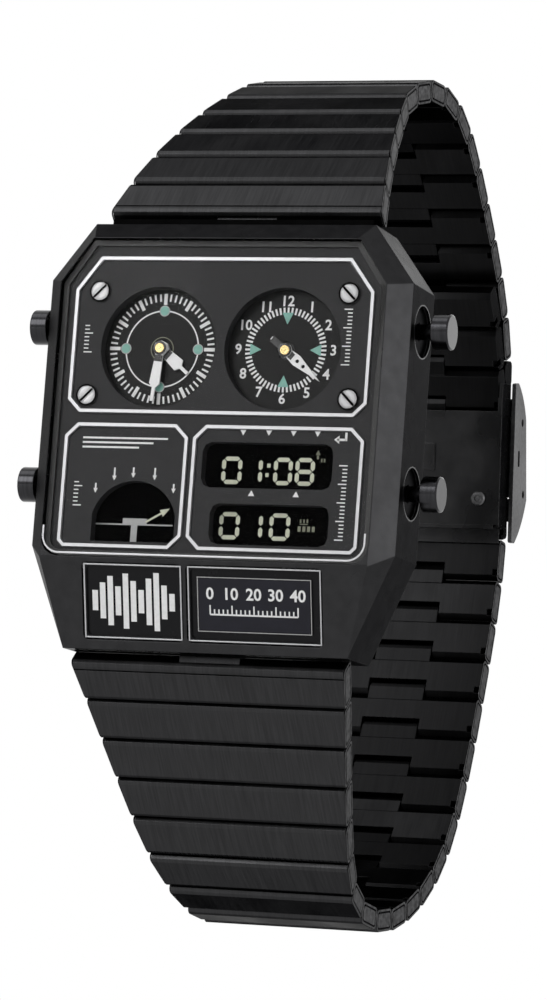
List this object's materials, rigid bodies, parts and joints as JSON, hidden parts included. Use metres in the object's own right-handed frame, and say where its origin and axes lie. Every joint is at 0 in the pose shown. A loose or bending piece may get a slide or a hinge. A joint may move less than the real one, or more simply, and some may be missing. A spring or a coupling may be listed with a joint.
{
  "type": "analog and digital wristwatch",
  "caption": "Black steel wristwatch with small analog dials, number panels, push buttons and a folded-link bracelet with a fold-over clasp.",
  "frame": {"origin": "middle of the case back's wrist face", "axes": "+X to 3 o'clock, +Y from the dial to the wrist, +Z to 12 o'clock"},
  "size_m": [0.0384, 0.0627, 0.0779],
  "materials": {
    "black_steel": "satin black coating",
    "bracelet": "satin black coating over folded steel",
    "bright_steel": "polished",
    "crystal": "clear",
    "seal": "matt",
    "face": "matt black",
    "dial": "matt black with printed ring",
    "panel": "dark glossy display",
    "hand": "white lacquer",
    "tray": "moulded",
    "board": "coated",
    "plain_steel": "plain",
    "spring_brass": "plain"
  },
  "bodies": {
    "case": {"case_body": "black_steel", "caseback": "black_steel", "screws": "bright_steel", "crystal": "crystal", "seals": "seal", "faceplate": "face", "face_frames": "bright_steel", "subdials": "dial", "display_panels": "panel", "badge_plates": "black_steel", "hand_drives": "tray", "circuit_board": "board", "movement_tray": "tray", "battery": "plain_steel", "contact_springs": "spring_brass", "spring_bars": "plain_steel"},
    "minute_hand": {"minute_hand": "hand"},
    "hour_hand": {"hour_hand": "hand"},
    "zone_hand": {"zone_hand": "hand"},
    "upper_right_button": {"upper_right_button": "black_steel"},
    "lower_right_button": {"lower_right_button": "black_steel"},
    "upper_left_button": {"upper_left_button": "black_steel"},
    "lower_left_button": {"lower_left_button": "black_steel"},
    "upper_link_01": {"upper_link_01": "bracelet"},
    "upper_link_02": {"upper_link_02": "bracelet"},
    "upper_link_03": {"upper_link_03": "bracelet"},
    "upper_link_04": {"upper_link_04": "bracelet"},
    "upper_link_05": {"upper_link_05": "bracelet"},
    "upper_link_06": {"upper_link_06": "bracelet"},
    "upper_link_07": {"upper_link_07": "bracelet"},
    "upper_link_08": {"upper_link_08": "bracelet"},
    "upper_link_09": {"upper_link_09": "bracelet"},
    "upper_link_10": {"upper_link_10": "bracelet"},
    "upper_link_11": {"upper_link_11": "bracelet"},
    "upper_link_12": {"upper_link_12": "bracelet"},
    "upper_link_13": {"upper_link_13": "bracelet"},
    "upper_link_14": {"upper_link_14": "bracelet"},
    "upper_link_15": {"upper_link_15": "bracelet"},
    "upper_link_16": {"upper_link_16": "bracelet"},
    "clasp": {"clasp_links": "bracelet", "clasp_body": "bracelet", "end_link": "bracelet"},
    "clasp_cover": {"clasp_cover": "bracelet"},
    "tail_links": {"tail_links": "bracelet"},
    "lower_link_01_02": {"lower_link_01_02": "bracelet"},
    "lower_link_03_04": {"lower_link_03_04": "bracelet"},
    "lower_link_05": {"lower_link_05": "bracelet"},
    "lower_link_06": {"lower_link_06": "bracelet"},
    "lower_link_07": {"lower_link_07": "bracelet"},
    "lower_link_08": {"lower_link_08": "bracelet"},
    "lower_link_09": {"lower_link_09": "bracelet"},
    "lower_link_10": {"lower_link_10": "bracelet"},
    "lower_link_11": {"lower_link_11": "bracelet"},
    "lower_link_12": {"lower_link_12": "bracelet"},
    "lower_link_13": {"lower_link_13": "bracelet"},
    "lower_link_14": {"lower_link_14": "bracelet"},
    "lower_link_15": {"lower_link_15": "bracelet"},
    "lower_link_16_17": {"lower_link_16_17": "bracelet"},
    "lower_link_18_19": {"lower_link_18_19": "bracelet"},
    "lower_link_20_21": {"lower_link_20_21": "bracelet"}
  },
  "joints": [
    {"name": "minute_hand_turn", "type": "hinge", "parent": "case", "child": "minute_hand", "pos_m": [-0.00565, -0.0083, 0.0075], "axis": [0, 1, 0], "continuous": true},
    {"name": "hour_hand_turn", "type": "hinge", "parent": "case", "child": "hour_hand", "pos_m": [-0.00565, -0.0083, 0.0075], "axis": [0, 1, 0], "continuous": true},
    {"name": "zone_hand_turn", "type": "hinge", "parent": "case", "child": "zone_hand", "pos_m": [0.00565, -0.0083, 0.0075], "axis": [0, 1, 0], "continuous": true},
    {"name": "upper_right_button_press", "type": "slide", "parent": "case", "child": "upper_right_button", "axis": [-1, 0, 0], "range_m": [0, 0.0008], "stiffness_N_per_m": 1000, "springref_m": -0.0005},
    {"name": "lower_right_button_press", "type": "slide", "parent": "case", "child": "lower_right_button", "axis": [-1, 0, 0], "range_m": [0, 0.0008], "stiffness_N_per_m": 1000, "springref_m": -0.0005},
    {"name": "upper_left_button_press", "type": "slide", "parent": "case", "child": "upper_left_button", "axis": [1, 0, 0], "range_m": [0, 0.0008], "stiffness_N_per_m": 1000, "springref_m": -0.0005},
    {"name": "lower_left_button_press", "type": "slide", "parent": "case", "child": "lower_left_button", "axis": [1, 0, 0], "range_m": [0, 0.0008], "stiffness_N_per_m": 1000, "springref_m": -0.0005},
    {"name": "upper_link_01_pivot", "type": "hinge", "parent": "case", "child": "upper_link_01", "pos_m": [0, -0.00405, 0.0198], "axis": [1, 0, 0], "range_deg": [0, 39]},
    {"name": "upper_link_02_pivot", "type": "hinge", "parent": "upper_link_01", "child": "upper_link_02", "pos_m": [0, -0.00146, 0.023], "axis": [1, 0, 0], "range_deg": [0, 8]},
    {"name": "upper_link_03_pivot", "type": "hinge", "parent": "upper_link_02", "child": "upper_link_03", "pos_m": [0, 0.00146, 0.02592], "axis": [1, 0, 0], "range_deg": [0, 7]},
    {"name": "upper_link_04_pivot", "type": "hinge", "parent": "upper_link_03", "child": "upper_link_04", "pos_m": [0, 0.00461, 0.02856], "axis": [1, 0, 0], "range_deg": [0, 6]},
    {"name": "upper_link_05_pivot", "type": "hinge", "parent": "upper_link_04", "child": "upper_link_05", "pos_m": [0, 0.00795, 0.03099], "axis": [1, 0, 0], "range_deg": [0, 6]},
    {"name": "upper_link_06_pivot", "type": "hinge", "parent": "upper_link_05", "child": "upper_link_06", "pos_m": [0, 0.01144, 0.03317], "axis": [1, 0, 0], "range_deg": [0, 9]},
    {"name": "upper_link_07_pivot", "type": "hinge", "parent": "upper_link_06", "child": "upper_link_07", "pos_m": [0, 0.01517, 0.03491], "axis": [1, 0, 0], "range_deg": [0, 11]},
    {"name": "upper_link_08_pivot", "type": "hinge", "parent": "upper_link_07", "child": "upper_link_08", "pos_m": [0, 0.01913, 0.03605], "axis": [1, 0, 0], "range_deg": [0, 14]},
    {"name": "upper_link_09_pivot", "type": "hinge", "parent": "upper_link_08", "child": "upper_link_09", "pos_m": [0, 0.02324, 0.03633], "axis": [1, 0, 0], "range_deg": [0, 16]},
    {"name": "upper_link_10_pivot", "type": "hinge", "parent": "upper_link_09", "child": "upper_link_10", "pos_m": [0, 0.0273, 0.03562], "axis": [1, 0, 0], "range_deg": [0, 18]},
    {"name": "upper_link_11_pivot", "type": "hinge", "parent": "upper_link_10", "child": "upper_link_11", "pos_m": [0, 0.031, 0.03381], "axis": [1, 0, 0], "range_deg": [0, 14]},
    {"name": "upper_link_12_pivot", "type": "hinge", "parent": "upper_link_11", "child": "upper_link_12", "pos_m": [0, 0.03425, 0.03127], "axis": [1, 0, 0], "range_deg": [0, 6]},
    {"name": "upper_link_13_pivot", "type": "hinge", "parent": "upper_link_12", "child": "upper_link_13", "pos_m": [0, 0.03731, 0.02852], "axis": [1, 0, 0], "range_deg": [0, 4]},
    {"name": "upper_link_14_pivot", "type": "hinge", "parent": "upper_link_13", "child": "upper_link_14", "pos_m": [0, 0.04028, 0.02566], "axis": [1, 0, 0], "range_deg": [0, 5]},
    {"name": "upper_link_15_pivot", "type": "hinge", "parent": "upper_link_14", "child": "upper_link_15", "pos_m": [0, 0.04309, 0.02264], "axis": [1, 0, 0], "range_deg": [0, 9]},
    {"name": "upper_link_16_pivot", "type": "hinge", "parent": "upper_link_15", "child": "upper_link_16", "pos_m": [0, 0.04551, 0.01931], "axis": [1, 0, 0], "range_deg": [0, 13]},
    {"name": "clasp_pivot", "type": "hinge", "parent": "upper_link_16", "child": "clasp", "pos_m": [0, 0.04725, 0.01558], "axis": [1, 0, 0], "range_deg": [0, 12]},
    {"name": "cover_hinge", "type": "hinge", "parent": "clasp", "child": "clasp_cover", "pos_m": [0, 0.04962, 0.00213], "axis": [-1, 0, 0], "range_deg": [0, 90]},
    {"name": "tail_pivot", "type": "hinge", "parent": "clasp", "child": "tail_links", "pos_m": [0, 0.04587, 0.01189], "axis": [1, 0, 0], "range_deg": [0, 12]},
    {"name": "lower_link_01_02_pivot", "type": "hinge", "parent": "case", "child": "lower_link_01_02", "pos_m": [0, -0.0053, -0.0193], "axis": [-1, 0, 0], "range_deg": [0, 41]},
    {"name": "lower_link_03_04_pivot", "type": "hinge", "parent": "lower_link_01_02", "child": "lower_link_03_04", "pos_m": [0, 0.00005, -0.02557], "axis": [-1, 0, 0], "range_deg": [0, 2]},
    {"name": "lower_link_05_pivot", "type": "hinge", "parent": "lower_link_03_04", "child": "lower_link_05", "pos_m": [0, 0.0054, -0.03183], "axis": [-1, 0, 0], "range_deg": [0, 7]},
    {"name": "lower_link_06_pivot", "type": "hinge", "parent": "lower_link_05", "child": "lower_link_06", "pos_m": [0, 0.00837, -0.03469], "axis": [-1, 0, 0], "range_deg": [0, 12]},
    {"name": "lower_link_07_pivot", "type": "hinge", "parent": "lower_link_06", "child": "lower_link_07", "pos_m": [0, 0.01178, -0.037], "axis": [-1, 0, 0], "range_deg": [0, 16]},
    {"name": "lower_link_08_pivot", "type": "hinge", "parent": "lower_link_07", "child": "lower_link_08", "pos_m": [0, 0.01565, -0.03841], "axis": [-1, 0, 0], "range_deg": [0, 16]},
    {"name": "lower_link_09_pivot", "type": "hinge", "parent": "lower_link_08", "child": "lower_link_09", "pos_m": [0, 0.01975, -0.03884], "axis": [-1, 0, 0], "range_deg": [0, 14]},
    {"name": "lower_link_10_pivot", "type": "hinge", "parent": "lower_link_09", "child": "lower_link_10", "pos_m": [0, 0.02385, -0.03841], "axis": [-1, 0, 0], "range_deg": [0, 11]},
    {"name": "lower_link_11_pivot", "type": "hinge", "parent": "lower_link_10", "child": "lower_link_11", "pos_m": [0, 0.02783, -0.03734], "axis": [-1, 0, 0], "range_deg": [0, 10]},
    {"name": "lower_link_12_pivot", "type": "hinge", "parent": "lower_link_11", "child": "lower_link_12", "pos_m": [0, 0.03162, -0.03573], "axis": [-1, 0, 0], "range_deg": [0, 11]},
    {"name": "lower_link_13_pivot", "type": "hinge", "parent": "lower_link_12", "child": "lower_link_13", "pos_m": [0, 0.03511, -0.03355], "axis": [-1, 0, 0], "range_deg": [0, 13]},
    {"name": "lower_link_14_pivot", "type": "hinge", "parent": "lower_link_13", "child": "lower_link_14", "pos_m": [0, 0.03813, -0.03074], "axis": [-1, 0, 0], "range_deg": [0, 14]},
    {"name": "lower_link_15_pivot", "type": "hinge", "parent": "lower_link_14", "child": "lower_link_15", "pos_m": [0, 0.04049, -0.02736], "axis": [-1, 0, 0], "range_deg": [0, 10]},
    {"name": "lower_link_16_17_pivot", "type": "hinge", "parent": "lower_link_15", "child": "lower_link_16_17", "pos_m": [0, 0.04236, -0.02369], "axis": [-1, 0, 0], "range_deg": [0, 6]},
    {"name": "lower_link_18_19_pivot", "type": "hinge", "parent": "lower_link_16_17", "child": "lower_link_18_19", "pos_m": [0, 0.04538, -0.01603], "axis": [-1, 0, 0], "range_deg": [0, 3]},
    {"name": "lower_link_20_21_pivot", "type": "hinge", "parent": "lower_link_18_19", "child": "lower_link_20_21", "pos_m": [0, 0.04793, -0.00819], "axis": [-1, 0, 0], "range_deg": [0, 7]}
  ],
  "couplings": [
    {"joint": "hour_hand_turn", "follows": "minute_hand_turn", "ratio": 0.083333}
  ]
}
